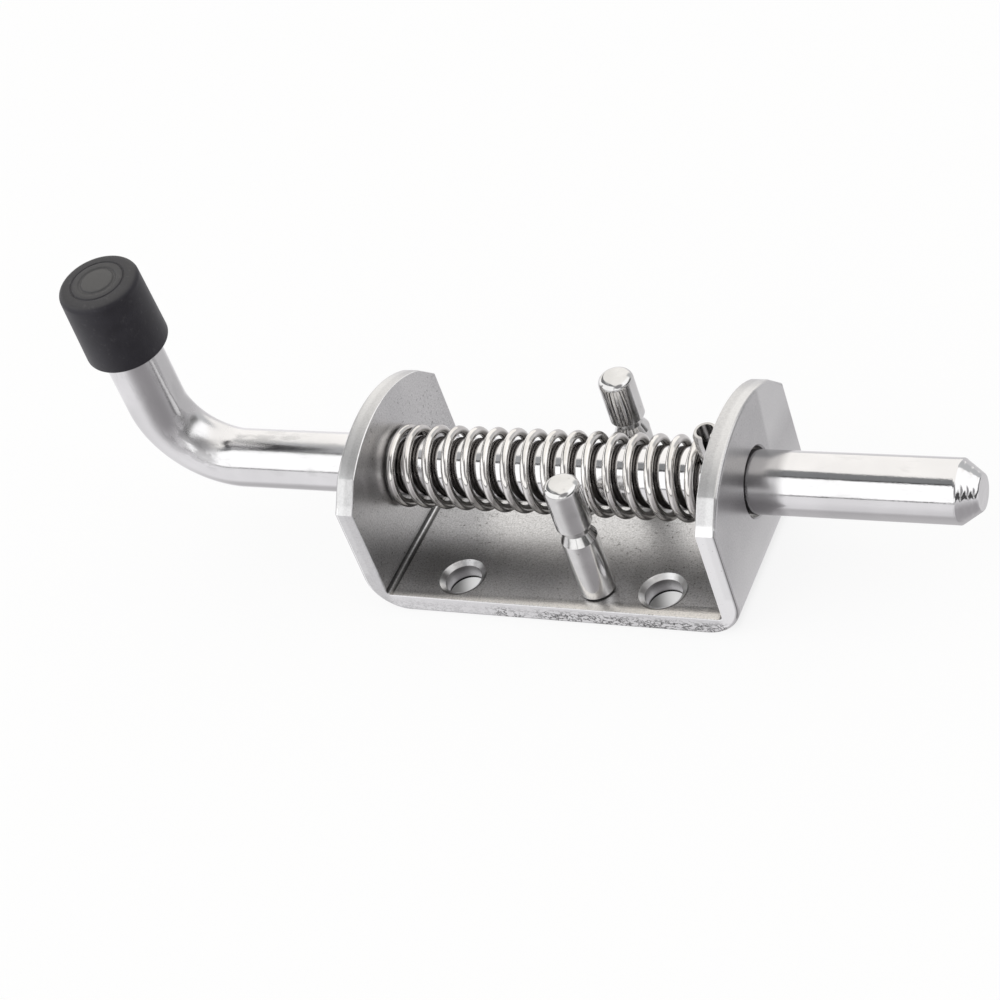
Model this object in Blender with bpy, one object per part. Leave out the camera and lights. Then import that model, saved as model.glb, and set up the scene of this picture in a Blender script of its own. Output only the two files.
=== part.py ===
"""Spring barrel bolt with a handle.

A round bolt bar slides through the two ears of a folded steel bracket. A coil spring on the bar pushes
against a roll pin, which stops the bar at the right ear. Pulled back and turned a quarter turn, the roll
pin catches behind the two grooved posts and holds the bolt open.

Units are metres, +Z is up. The origin is the centre of the base plate's underside. +X runs along the bar
towards its nose, and +Y points to the back.
"""

from math import asin, cos, degrees, pi, radians, sin

import bmesh
import bpy
from mathutils import Matrix, Vector

# Gaps between pieces
SEAT_GAP = 0.0003
BAR_CLEARANCE = 0.0006
SPRING_CLEARANCE = 0.00055

# Bolt bar
BAR_DIAMETER = 0.0120
BAR_AXIS_HEIGHT = 0.0195
NOSE_REACH = 0.0422
NOSE_CHAMFER_LENGTH = 0.0036
NOSE_FACE_DIAMETER = 0.0069
HANDLE_REACH = 0.0327
BEND_RADIUS = 0.0150
BEND_ANGLE = 94.0
HANDLE_STRAIGHT = 0.0295
REST_TURN = 3.8
BAR_SIDES = 36
BEND_STEPS = 14

# Bracket, folded from one sheet
SHEET = 0.0040
BRACKET_LENGTH = 0.0785
BRACKET_DEPTH = 0.0415
EAR_HEIGHT = 0.0352
EAR_SIDE_HEIGHT = 0.0254
EAR_FACET_LEAN = 0.0046
EAR_FACET_RISE = 0.0048
INNER_BEND_RADIUS = 0.0008
OUTER_BEND_RADIUS = 0.0080
EDGE_ROUND = 0.0004
BAR_HOLE_CHAMFER = 0.0003

# Screw holes in the base plate
SCREW_TO_END = 0.0180
SCREW_TO_EDGE = 0.0064
SCREW_HOLE_DIAMETER = 0.0074
SCREW_RIM_DIAMETER = 0.0094
SCREW_CHAMFER_DEPTH = 0.0008

# Holding posts, riveted into the base plate
POST_TO_EAR = 0.02705
POST_TO_EDGE = 0.00585
POST_DIAMETER = 0.0070
POST_HEIGHT = 0.0274
POST_ROUND = 0.0013
GROOVE_WIDTH = 0.0036
GROOVE_DEPTH = 0.0009
TENON_DIAMETER = 0.0050
RIVET_DIAMETER = 0.0075
RIVET_SINK = 0.0015

# Roll pin through the bar
PIN_DIAMETER = 0.0050
PIN_WALL = 0.0009
PIN_LENGTH = 0.0262
PIN_SLOT = 0.0017
PIN_SLOT_FACING = -67.0
PIN_CHAMFER = 0.0004

# Return spring
WIRE_DIAMETER = 0.0017
SPRING_TURNS = 15.8
CLOSED_TURNS = 0.55
CLOSED_PITCH = 0.0002
SPRING_START = 3.0
WIRE_SIDES = 8
STEPS_PER_TURN = 20

# Rubber cap on the handle
CAP_LENGTH = 0.0168
CAP_TOP_DIAMETER = 0.0164
CAP_MOUTH_DIAMETER = 0.0171
CAP_TOP_ROUND = 0.0012
CAP_MOUTH_ROUND = 0.0006
CAP_END_WALL = 0.0030
CAP_INNER_RING_RADIUS = 0.0038
CAP_OUTER_RING_RADIUS = 0.0055
CAP_RING_WIDTH = 0.0008
CAP_RING_DEPTH = 0.0004

# Places that follow from the sizes above
EAR_INNER_X = BRACKET_LENGTH / 2 - SHEET
SCREW_X = BRACKET_LENGTH / 2 - SCREW_TO_END
SCREW_Y = BRACKET_DEPTH / 2 - SCREW_TO_EDGE
POST_X = EAR_INNER_X - POST_TO_EAR
POST_Y = BRACKET_DEPTH / 2 - POST_TO_EDGE
PIN_X = EAR_INNER_X - SEAT_GAP - PIN_DIAMETER / 2
SPRING_LEFT_X = -EAR_INNER_X + SEAT_GAP
SPRING_RIGHT_X = PIN_X - PIN_DIAMETER / 2 - SEAT_GAP
SPRING_MEAN_RADIUS = BAR_DIAMETER / 2 + SPRING_CLEARANCE + WIRE_DIAMETER / 2
NOSE_X = BRACKET_LENGTH / 2 + NOSE_REACH
BEND_X = -BRACKET_LENGTH / 2 - HANDLE_REACH
OVERCUT = 0.0010


def clear_scene():
    """Start from an empty scene."""
    for old in list(bpy.data.objects):
        bpy.data.objects.remove(old, do_unlink=True)


def material(name, colour, roughness, metallic):
    """A plain Principled material."""
    made = bpy.data.materials.new(name)
    made.use_nodes = True
    shader = made.node_tree.nodes["Principled BSDF"]
    shader.inputs["Base Color"].default_value = (*colour, 1.0)
    shader.inputs["Roughness"].default_value = roughness
    shader.inputs["Metallic"].default_value = metallic
    return made


def add_object(name, bm, finish=None, smooth_angle=30.0):
    """Close a bmesh into an object with outward faces, and shade its round faces smooth."""
    bmesh.ops.recalc_face_normals(bm, faces=bm.faces[:])
    mesh = bpy.data.meshes.new(name)
    bm.to_mesh(mesh)
    bm.free()
    mesh.shade_smooth()
    mesh.set_sharp_from_angle(angle=radians(smooth_angle))
    if finish:
        mesh.materials.append(finish)
    made = bpy.data.objects.new(name, mesh)
    bpy.context.scene.collection.objects.link(made)
    return made


def arc(centre, radius, start, end, steps):
    """Points of a round stretch from start to end, in degrees, both ends included."""
    angles = [radians(start + (end - start) * i / steps) for i in range(steps + 1)]
    return [(centre[0] + radius * cos(a), centre[1] + radius * sin(a)) for a in angles]


def turned(profile, sides):
    """Spin a profile of (radius, height) points about Z. It starts and ends on the axis."""
    bm = bmesh.new()
    points = [bm.verts.new((radius, 0.0, height)) for radius, height in profile]
    lines = [bm.edges.new(pair) for pair in zip(points, points[1:])]
    bmesh.ops.spin(bm, geom=points + lines, cent=(0, 0, 0), axis=(0, 0, 1),
                   angle=2 * pi, steps=sides, use_merge=True)
    bmesh.ops.remove_doubles(bm, verts=bm.verts[:], dist=1e-6)
    return bm


def extruded(outline, axis, start, end):
    """Extrude a closed outline along X or Y, from start to end."""
    bm = bmesh.new()
    if axis == "X":
        corners = [bm.verts.new((start, a, b)) for a, b in outline]
        shift = Vector((end - start, 0, 0))
    else:
        corners = [bm.verts.new((a, start, b)) for a, b in outline]
        shift = Vector((0, end - start, 0))
    face = bm.faces.new(corners)
    grown = bmesh.ops.extrude_face_region(bm, geom=[face])
    moved = [item for item in grown["geom"] if isinstance(item, bmesh.types.BMVert)]
    bmesh.ops.translate(bm, verts=moved, vec=shift)
    return bm


def as_cutter(obj):
    """Keep a cutter out of the model, as a wire shape."""
    obj.hide_render = True
    obj.display_type = "WIRE"
    return obj


def cut(target, cutter, operation="DIFFERENCE"):
    """Cut a target with a cutter by a live Boolean."""
    boolean = target.modifiers.new(cutter.name, "BOOLEAN")
    boolean.operation = operation
    boolean.object = cutter
    boolean.solver = "EXACT"


def bracket_section():
    """The folded sheet seen from the front: tight inside each fold, wide outside it."""
    half = BRACKET_LENGTH / 2
    top = EAR_HEIGHT + OVERCUT
    outer = OUTER_BEND_RADIUS
    inner = INNER_BEND_RADIUS
    floor = SHEET + inner
    wall = EAR_INNER_X - inner
    outline = [(-half, top)]
    outline += arc((-half + outer, outer), outer, 180, 270, 9)
    outline += arc((half - outer, outer), outer, 270, 360, 9)
    outline += [(half, top), (EAR_INNER_X, top)]
    outline += arc((wall, floor), inner, 0, -90, 5)
    outline += arc((-wall, floor), inner, 270, 180, 5)
    outline += [(-EAR_INNER_X, top)]
    return outline


def ear_outline():
    """The ears seen from the side: straight sides, a short facet, and one wide arc over the top."""
    side = BRACKET_DEPTH / 2
    arc_end_y = side - EAR_FACET_LEAN
    arc_end_z = EAR_SIDE_HEIGHT + EAR_FACET_RISE
    drop = EAR_HEIGHT - arc_end_z
    radius = (arc_end_y ** 2 + drop ** 2) / (2 * drop)
    lean = degrees(asin(arc_end_y / radius))
    outline = [(side, -OVERCUT), (side, EAR_SIDE_HEIGHT)]
    outline += arc((0, EAR_HEIGHT - radius), radius, 90 - lean, 90 + lean, 18)
    outline += [(-side, EAR_SIDE_HEIGHT), (-side, -OVERCUT)]
    return outline


def screw_hole_profile():
    """One screw hole with a broken upper rim."""
    bore = SCREW_HOLE_DIAMETER / 2
    rim = SCREW_RIM_DIAMETER / 2
    slope = (rim - bore) / SCREW_CHAMFER_DEPTH
    return [
        (0, -OVERCUT),
        (bore, -OVERCUT),
        (bore, SHEET - SCREW_CHAMFER_DEPTH),
        (rim + slope * OVERCUT, SHEET + OVERCUT),
        (0, SHEET + OVERCUT),
    ]


def rivet_slope():
    """How fast the riveted tail widens towards the underside."""
    return (RIVET_DIAMETER - TENON_DIAMETER) / 2 / RIVET_SINK


def rivet_hole_profile():
    """The hole for a post's tenon, sunk from below for its riveted tail."""
    bore = TENON_DIAMETER / 2 + SEAT_GAP
    mouth = RIVET_DIAMETER / 2 + SEAT_GAP
    return [
        (0, -OVERCUT),
        (mouth + rivet_slope() * OVERCUT, -OVERCUT),
        (bore, RIVET_SINK),
        (bore, SHEET + OVERCUT),
        (0, SHEET + OVERCUT),
    ]


def bar_hole_bm():
    """A cutter along X through both ears, with broken rims on each ear's two faces."""
    hole = BAR_DIAMETER / 2 + BAR_CLEARANCE
    rim = hole + BAR_HOLE_CHAMFER
    outside = BRACKET_LENGTH / 2
    inside = EAR_INNER_X
    right = [
        (hole, inside + BAR_HOLE_CHAMFER),
        (hole, outside - BAR_HOLE_CHAMFER),
        (rim + OVERCUT, outside + OVERCUT),
        (0, outside + OVERCUT),
    ]
    right = [(rim + OVERCUT, inside - OVERCUT)] + right
    left = [(radius, -height) for radius, height in reversed(right)]
    bm = turned(left + right, 40)
    bmesh.ops.rotate(bm, verts=bm.verts[:], cent=(0, 0, 0), matrix=Matrix.Rotation(pi / 2, 3, "Y"))
    return bm


def build_bracket():
    """Fold the sheet, trim it to the ears' outline, round its edges, then drill it."""
    steel = material("satin_stainless", (0.55, 0.55, 0.56), 0.38, 1.0)
    reach = BRACKET_DEPTH / 2 + OVERCUT
    bracket = add_object("bracket", extruded(bracket_section(), "Y", -reach, reach), steel)
    reach = BRACKET_LENGTH / 2 + OVERCUT
    trim = as_cutter(add_object("ear_trim", extruded(ear_outline(), "X", -reach, reach)))
    cut(bracket, trim, "INTERSECT")

    rounding = bracket.modifiers.new("broken_edges", "BEVEL")
    rounding.width = EDGE_ROUND
    rounding.segments = 2
    rounding.limit_method = "ANGLE"
    rounding.angle_limit = radians(50)
    rounding.harden_normals = False

    bar_hole = as_cutter(add_object("bar_hole", bar_hole_bm()))
    bar_hole.location.z = BAR_AXIS_HEIGHT
    cut(bracket, bar_hole)
    for x in (-SCREW_X, SCREW_X):
        for y in (-SCREW_Y, SCREW_Y):
            hole = as_cutter(add_object("screw_hole", turned(screw_hole_profile(), 32)))
            hole.location = (x, y, 0)
            cut(bracket, hole)
    for y in (-POST_Y, POST_Y):
        hole = as_cutter(add_object("rivet_hole", turned(rivet_hole_profile(), 24)))
        hole.location = (POST_X, y, 0)
        cut(bracket, hole)


def post_profile():
    """A turned post: riveted tail, tenon, shoulder on the plate, V groove at the bar's height, round end."""
    radius = POST_DIAMETER / 2
    tenon = TENON_DIAMETER / 2
    tail_z = SEAT_GAP
    tail = tenon + rivet_slope() * (RIVET_SINK - tail_z)
    shoulder_z = SHEET + SEAT_GAP
    top_z = SHEET + POST_HEIGHT
    groove_z = BAR_AXIS_HEIGHT
    rounded = arc((radius - POST_ROUND, top_z - POST_ROUND), POST_ROUND, 0, 90, 4)
    return [
        (0, tail_z),
        (tail, tail_z),
        (tenon, RIVET_SINK),
        (tenon, shoulder_z),
        (radius, shoulder_z),
        (radius, groove_z - GROOVE_WIDTH / 2),
        (radius - GROOVE_DEPTH, groove_z),
        (radius, groove_z + GROOVE_WIDTH / 2),
        *rounded,
        (0, top_z),
    ]


def build_posts():
    """Two identical posts, in front of and behind the bar."""
    steel = material("turned_steel", (0.62, 0.61, 0.60), 0.22, 1.0)
    for name, y in (("front_post", -POST_Y), ("rear_post", POST_Y)):
        post = add_object(name, turned(post_profile(), 32), steel)
        post.location = (POST_X, y, 0)


def axis_empty():
    """The bar's axis. Everything on the bolt hangs from it, turned as the bolt stands."""
    empty = bpy.data.objects.new("bolt_axis", None)
    bpy.context.scene.collection.objects.link(empty)
    empty.location = (0, 0, BAR_AXIS_HEIGHT)
    empty.rotation_euler = (radians(REST_TURN), 0, 0)
    return empty


def handle_direction():
    """The way the handle points after the bend, in the bolt's own frame."""
    bend = radians(BEND_ANGLE)
    return Vector((-cos(bend), 0, sin(bend)))


def handle_root():
    """Where the bend ends and the straight handle starts, in the bolt's own frame."""
    bend = radians(BEND_ANGLE)
    return Vector((BEND_X - BEND_RADIUS * sin(bend), 0, BEND_RADIUS * (1 - cos(bend))))


def lengthen(bm, edges, shift, scale=1.0):
    """Extrude a ring of edges by a shift, scale it about its centre, and return the new ring."""
    grown = bmesh.ops.extrude_edge_only(bm, edges=edges)
    points = [item for item in grown["geom"] if isinstance(item, bmesh.types.BMVert)]
    bmesh.ops.translate(bm, verts=points, vec=shift)
    if scale != 1.0:
        centre = sum((point.co for point in points), Vector()) / len(points)
        bmesh.ops.scale(bm, verts=points, vec=(scale,) * 3, space=Matrix.Translation(-centre))
    return [item for item in grown["geom"] if isinstance(item, bmesh.types.BMEdge)]


def bar_bm():
    """Sweep the round section from the nose's end face, round the bend and up the handle."""
    bm = bmesh.new()
    bmesh.ops.create_circle(bm, segments=BAR_SIDES, radius=NOSE_FACE_DIAMETER / 2)
    bmesh.ops.rotate(bm, verts=bm.verts[:], cent=(0, 0, 0), matrix=Matrix.Rotation(pi / 2, 3, "Y"))
    bmesh.ops.translate(bm, verts=bm.verts[:], vec=(NOSE_X, 0, 0))
    face_ring = bm.edges[:]
    ring = lengthen(bm, face_ring, Vector((-NOSE_CHAMFER_LENGTH, 0, 0)), BAR_DIAMETER / NOSE_FACE_DIAMETER)
    ring = lengthen(bm, ring, Vector((BEND_X - NOSE_X + NOSE_CHAMFER_LENGTH, 0, 0)))
    bent = bmesh.ops.spin(bm, geom=ring, cent=(BEND_X, 0, BEND_RADIUS), axis=(0, 1, 0),
                          angle=radians(BEND_ANGLE), steps=BEND_STEPS)
    ring = [item for item in bent["geom_last"] if isinstance(item, bmesh.types.BMEdge)]
    ring = lengthen(bm, ring, handle_direction() * HANDLE_STRAIGHT)
    bmesh.ops.edgeloop_fill(bm, edges=face_ring)
    bmesh.ops.edgeloop_fill(bm, edges=ring)
    return bm


def pin_hole_bm():
    """A round cutter across the bar for the roll pin."""
    reach = BAR_DIAMETER / 2 + OVERCUT
    radius = PIN_DIAMETER / 2 + SEAT_GAP
    return turned([(0, -reach), (radius, -reach), (radius, reach), (0, reach)], 32)


def build_bar(axis):
    """The bolt bar: chamfered nose, straight shank with a cross hole, and the bent handle."""
    steel = material("drawn_steel", (0.66, 0.66, 0.67), 0.16, 1.0)
    bar = add_object("bolt_bar", bar_bm(), steel)
    bar.parent = axis
    hole = as_cutter(add_object("pin_hole", pin_hole_bm()))
    hole.location.x = PIN_X
    hole.parent = axis
    cut(bar, hole)


def roll_pin_outline():
    """The rolled sheet seen from its end: a ring with a slot."""
    outer = PIN_DIAMETER / 2
    inner = outer - PIN_WALL
    outer_gap = degrees(asin(PIN_SLOT / 2 / outer))
    inner_gap = degrees(asin(PIN_SLOT / 2 / inner))
    round_out = arc((0, 0), outer, outer_gap, 360 - outer_gap, 28)
    round_in = arc((0, 0), inner, 360 - inner_gap, inner_gap, 28)
    return round_out, round_in


def roll_pin_bm():
    """Extrude the slotted ring in three lengths, drawn in at both ends for the lead-in chamfers."""
    round_out, round_in = roll_pin_outline()
    drawn_in = 1 - PIN_CHAMFER / (PIN_DIAMETER / 2)
    bm = bmesh.new()
    out_points = [bm.verts.new((x * drawn_in, y * drawn_in, -PIN_LENGTH / 2)) for x, y in round_out]
    in_points = [bm.verts.new((x, y, -PIN_LENGTH / 2)) for x, y in round_in]
    face = bm.faces.new(out_points + in_points)
    stations = [
        (2 * PIN_CHAMFER, 1 / drawn_in),
        (PIN_LENGTH - 4 * PIN_CHAMFER, 1.0),
        (2 * PIN_CHAMFER, drawn_in),
    ]
    for number, (rise, spread) in enumerate(stations):
        grown = bmesh.ops.extrude_face_region(bm, geom=[face])["geom"]
        if number:
            bmesh.ops.delete(bm, geom=[face], context="FACES_ONLY")
        face = next(item for item in grown if isinstance(item, bmesh.types.BMFace))
        bmesh.ops.translate(bm, verts=face.verts[:], vec=(0, 0, rise))
        outer_ring = [point for point in face.verts if point.co.xy.length > PIN_DIAMETER / 2 - PIN_WALL * 0.7]
        bmesh.ops.scale(bm, verts=outer_ring, vec=(spread, spread, 1))
    return bm


def build_roll_pin(axis):
    """The roll pin crosses the bar. It stops the bolt at the right ear and carries the spring's thrust."""
    steel = material("spring_steel_pin", (0.50, 0.50, 0.50), 0.30, 1.0)
    pin = add_object("roll_pin", roll_pin_bm(), steel)
    pin.parent = axis
    pin.location.x = PIN_X
    pin.rotation_euler.z = radians(PIN_SLOT_FACING)


def cap_profile():
    """A moulded cap on end: blind bore, rounded mouth, tapered side, rounded top with two ring grooves."""
    bore = BAR_DIAMETER / 2 + SEAT_GAP
    mouth = CAP_MOUTH_DIAMETER / 2
    top = CAP_TOP_DIAMETER / 2
    profile = [(0, CAP_LENGTH - CAP_END_WALL), (bore, CAP_LENGTH - CAP_END_WALL), (bore, 0)]
    profile += arc((mouth - CAP_MOUTH_ROUND, CAP_MOUTH_ROUND), CAP_MOUTH_ROUND, -90, 0, 4)
    profile += arc((top - CAP_TOP_ROUND, CAP_LENGTH - CAP_TOP_ROUND), CAP_TOP_ROUND, 0, 90, 6)
    for ring in (CAP_OUTER_RING_RADIUS, CAP_INNER_RING_RADIUS):
        profile += [
            (ring + CAP_RING_WIDTH / 2, CAP_LENGTH),
            (ring, CAP_LENGTH - CAP_RING_DEPTH),
            (ring - CAP_RING_WIDTH / 2, CAP_LENGTH),
        ]
    profile.append((0, CAP_LENGTH))
    return profile


def build_cap(axis):
    """The rubber cap over the handle's end."""
    rubber = material("black_rubber", (0.045, 0.045, 0.050), 0.72, 0.0)
    cap = add_object("handle_cap", turned(cap_profile(), 40), rubber)
    mouth_height = HANDLE_STRAIGHT + SEAT_GAP - (CAP_LENGTH - CAP_END_WALL)
    cap.parent = axis
    cap.location = handle_root() + handle_direction() * mouth_height
    cap.rotation_euler.y = radians(BEND_ANGLE - 90)


def spring_bm():
    """Wind the wire: a closed end, the open turns, and a closed end, as three screw spins of one ring."""
    closed_length = CLOSED_PITCH * CLOSED_TURNS
    open_turns = SPRING_TURNS - 2 * CLOSED_TURNS
    wound_length = SPRING_RIGHT_X - SPRING_LEFT_X - WIRE_DIAMETER
    open_pitch = (wound_length - 2 * closed_length) / open_turns
    bm = bmesh.new()
    bmesh.ops.create_circle(bm, segments=WIRE_SIDES, radius=WIRE_DIAMETER / 2)
    bmesh.ops.translate(bm, verts=bm.verts[:], vec=(WIRE_DIAMETER / 2, SPRING_MEAN_RADIUS, 0))
    bmesh.ops.rotate(bm, verts=bm.verts[:], cent=(0, 0, 0), matrix=Matrix.Rotation(radians(SPRING_START), 3, "X"))
    start_ring = bm.edges[:]
    ring = start_ring
    for turns, pitch in ((CLOSED_TURNS, CLOSED_PITCH), (open_turns, open_pitch), (CLOSED_TURNS, CLOSED_PITCH)):
        steps = round(turns * STEPS_PER_TURN)
        wound = bmesh.ops.spin(bm, geom=ring, cent=(0, 0, 0), axis=(1, 0, 0),
                               dvec=(pitch * turns / steps, 0, 0), angle=2 * pi * turns, steps=steps)
        ring = [item for item in wound["geom_last"] if isinstance(item, bmesh.types.BMEdge)]
    bmesh.ops.edgeloop_fill(bm, edges=start_ring)
    bmesh.ops.edgeloop_fill(bm, edges=ring)
    return bm


def build_spring():
    """The right-hand wound compression spring between the left ear and the roll pin."""
    steel = material("bright_spring_steel", (0.58, 0.56, 0.54), 0.20, 1.0)
    spring = add_object("spring", spring_bm(), steel, smooth_angle=60.0)
    spring.location = (SPRING_LEFT_X, 0, BAR_AXIS_HEIGHT)


def main():
    """Build every piece."""
    clear_scene()
    build_bracket()
    build_posts()
    build_spring()
    axis = axis_empty()
    build_bar(axis)
    build_roll_pin(axis)
    build_cap(axis)


main()
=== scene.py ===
# %% [markdown]
# A spring barrel bolt, dressed for its picture.
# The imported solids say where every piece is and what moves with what. This lesson keeps those places, models
# each piece again with finer curves and broken edges, and gives each its own finish: satin sheet, bright drawn
# bar, spring wire, turned posts, rolled pin and moulded rubber.

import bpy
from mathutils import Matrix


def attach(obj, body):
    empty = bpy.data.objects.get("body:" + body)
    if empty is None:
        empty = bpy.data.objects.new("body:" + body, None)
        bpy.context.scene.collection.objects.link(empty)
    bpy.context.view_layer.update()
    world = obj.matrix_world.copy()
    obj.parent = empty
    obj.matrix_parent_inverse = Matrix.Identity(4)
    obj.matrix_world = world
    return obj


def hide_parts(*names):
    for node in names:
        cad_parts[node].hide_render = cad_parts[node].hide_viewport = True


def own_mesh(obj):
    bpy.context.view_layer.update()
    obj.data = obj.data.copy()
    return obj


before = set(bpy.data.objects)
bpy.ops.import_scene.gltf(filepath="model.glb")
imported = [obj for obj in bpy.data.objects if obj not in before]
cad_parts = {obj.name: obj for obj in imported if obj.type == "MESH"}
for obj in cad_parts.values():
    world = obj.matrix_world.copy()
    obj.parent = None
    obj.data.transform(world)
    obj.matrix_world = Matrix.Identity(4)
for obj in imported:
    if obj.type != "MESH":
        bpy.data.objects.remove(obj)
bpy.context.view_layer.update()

# %% Tools and units
from math import asin, cos, degrees, hypot, pi, radians, sin

import bmesh
import bpy
from mathutils import Matrix, Vector

MM = 0.001
scene = bpy.context.scene

# %% [markdown]
# The camera.
# A product picture is taken with a long lens, low distortion and a slight roll of the camera. The angle, the
# distance and the lens were found by matching points of the bracket and the bar, so here they are plain
# numbers. Building the turn from three directions (right, up, back) avoids guessing at Euler angles.

# %% Camera
CAMERA_AZIMUTH = 36.37
CAMERA_ELEVATION = 38.89
CAMERA_ROLL = 21.72
FOCAL_PIXELS = 2374.73
FRAME_PIXELS = 1000
SENSOR = 36.0
OFFSET_IN_CAMERA = Vector((17.917, 8.875, 464.384)) * MM

azimuth = radians(CAMERA_AZIMUTH)
elevation = radians(CAMERA_ELEVATION)
roll = radians(CAMERA_ROLL)
back = Vector((sin(azimuth) * cos(elevation), -cos(azimuth) * cos(elevation), sin(elevation)))
level_right = (-back).cross(Vector((0, 0, 1))).normalized()
level_down = (-back).cross(level_right)
right = cos(roll) * level_right + sin(roll) * level_down
down = cos(roll) * level_down - sin(roll) * level_right
place = back * OFFSET_IN_CAMERA.z - right * OFFSET_IN_CAMERA.x - down * OFFSET_IN_CAMERA.y

lens = bpy.data.cameras.new("portrait_lens")
lens.sensor_width = SENSOR
lens.lens = FOCAL_PIXELS * SENSOR / FRAME_PIXELS
lens.clip_start = 0.01
camera = bpy.data.objects.new("portrait_camera", lens)
camera.matrix_world = Matrix.Translation(place) @ Matrix((right, -down, back)).transposed().to_4x4()
scene.collection.objects.link(camera)
scene.camera = camera
print("camera at mm", [round(v / MM, 1) for v in place], "lens", round(lens.lens, 2))

# %% [markdown]
# Wiring materials in plain Python.
# A procedural finish is a small calculation: grain plus scratches, times a mask. Written as node calls it is
# hard to read, so a Signal wraps a socket and lets sums be written as sums. Each sum still becomes an ordinary
# Math node. Colours never pass through these sums, because a Math node would turn them grey; they are blended
# instead. A mask is a signal that is 1 where something is and 0 elsewhere. Most masks here come from a place
# on the piece, so two of the methods take that place in millimetres.

# %% Signal, a socket that can be reckoned with
class Signal:
    """A value on its way through a material."""

    def __init__(self, finish, socket):
        self.finish = finish
        self.socket = socket

    def reckon(self, operation, other=0.0, swapped=False):
        pair = (other, self) if swapped else (self, other)
        return self.finish.add("ShaderNodeMath", {"operation": operation}, {0: pair[0], 1: pair[1]})

    def __add__(self, other):
        return self.reckon("ADD", other)

    __radd__ = __add__

    def __mul__(self, other):
        return self.reckon("MULTIPLY", other)

    __rmul__ = __mul__

    def __sub__(self, other):
        return self.reckon("SUBTRACT", other)

    def __rsub__(self, other):
        return self.reckon("SUBTRACT", other, swapped=True)

    def __truediv__(self, other):
        return self.reckon("DIVIDE", other)

    def __abs__(self):
        return self.reckon("ABSOLUTE")

    def at_most(self, other):
        return self.reckon("MINIMUM", other)

    def at_least(self, other):
        return self.reckon("MAXIMUM", other)

    def fade(self, start, end):
        """Rise smoothly from 0 at the start to 1 at the end."""
        return self.finish.add("ShaderNodeMapRange", {"interpolation_type": "SMOOTHSTEP"},
                               {"Value": self, "From Min": start, "From Max": end,
                                "To Min": 0.0, "To Max": 1.0})

    def within(self, start, end, soft):
        """1 between start and end, with soft ends."""
        return self.fade(start - soft, start) * (1 - self.fade(end, end + soft))

    def past(self, start, end):
        """Like fade, from one place to another in millimetres."""
        return self.fade(start * MM, end * MM)

    def between(self, start, end, soft):
        """Like within, with places in millimetres."""
        return self.within(start * MM, end * MM, soft * MM)


print("Signal is ready")

# %% Finish, a material under construction
class Finish:
    """The nodes of a material or of the world, and the one method that adds a node to them."""

    def __init__(self, owner):
        owner.use_nodes = True
        self.owner = owner
        self.tree = owner.node_tree
        self.tree.nodes.clear()

    def add(self, kind, settings=None, sockets=None, out=0):
        """Add a node: its type, its settings, and the values or links of its sockets. Returns one output."""
        node = self.tree.nodes.new(kind)
        for key, value in (settings or {}).items():
            setattr(node, key, value)
        for key, value in (sockets or {}).items():
            if isinstance(value, Signal):
                self.tree.links.new(value.socket, node.inputs[key])
            else:
                node.inputs[key].default_value = value
        return Signal(self, node.outputs[out]) if len(node.outputs) else node

    def where(self):
        """The piece's own Object coordinates."""
        return self.add("ShaderNodeTexCoord", out="Object")

    def facing(self):
        """The surface's own direction."""
        return self.add("ShaderNodeTexCoord", out="Normal")

    def split(self, vector):
        return [self.add("ShaderNodeSeparateXYZ", None, {0: vector}, out=axis) for axis in range(3)]

    def noise(self, vector, size, detail=2.0, rough=0.5, stretch=(1, 1, 1)):
        """Noise with lumps of about this size in millimetres, stretched along axes."""
        scaled = self.add("ShaderNodeMapping", None, {"Vector": vector, "Scale": stretch})
        return self.add("ShaderNodeTexNoise", None,
                        {"Vector": scaled, "Scale": 1 / (size * MM), "Detail": detail, "Roughness": rough})

    def distance(self, vector, point):
        return self.add("ShaderNodeVectorMath", {"operation": "DISTANCE"}, {0: vector, 1: point},
                        out="Value")

    def along(self, vector, direction):
        return self.add("ShaderNodeVectorMath", {"operation": "DOT_PRODUCT"}, {0: vector, 1: direction},
                        out="Value")

    def blend(self, amount, first, second):
        return self.add("ShaderNodeMix", {"data_type": "RGBA"}, {0: amount, 6: first, 7: second}, out=2)

    def bump(self, height, strength, distance):
        """Small relief, whose full height is this distance in millimetres."""
        return self.add("ShaderNodeBump", None,
                        {"Height": height, "Strength": strength, "Distance": distance * MM})

    def close(self, shader):
        """Lead a shader to the output, and hand the material over."""
        self.add("ShaderNodeOutputMaterial", None, {"Surface": shader})
        print("made", self.owner.name)
        return self.owner

    def metal(self, colour, roughness, height, strength, distance):
        """A bare metal surface, the whole way to the output."""
        return self.close(self.add("ShaderNodeBsdfPrincipled", None,
                                   {"Base Color": colour, "Metallic": 1.0, "Roughness": roughness,
                                    "Normal": self.bump(height, strength, distance)}))


def new_material(name):
    return Finish(bpy.data.materials.new(name))


def grey(value, warm=0.0, rose=0.0):
    """A grey, a little warm or, below zero, cool, and with a breath of rose."""
    return (value * (1 + warm), value * (1 - rose), value * (1 - warm), 1.0)


print("Finish is ready")

# %% [markdown]
# Modelling helpers.
# Most pieces of this bolt are turned or drawn, so they come from two operators: a spin of a profile for turned
# pieces, and a ring of edges carried along for drawn ones. The finishing helper welds, turns faces outwards,
# shades smooth with crisp corners, and hands the piece to its body, so that it moves with the solid that it
# stands for.

# %% Turned and extruded shapes
ALMOST_NOTHING = 1e-6


def arc(centre, radius, start, end, steps):
    """Points of a round stretch between two angles in degrees."""
    angles = [radians(start + (end - start) * i / steps) for i in range(steps + 1)]
    return [(centre[0] + radius * cos(a), centre[1] + radius * sin(a)) for a in angles]


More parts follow.
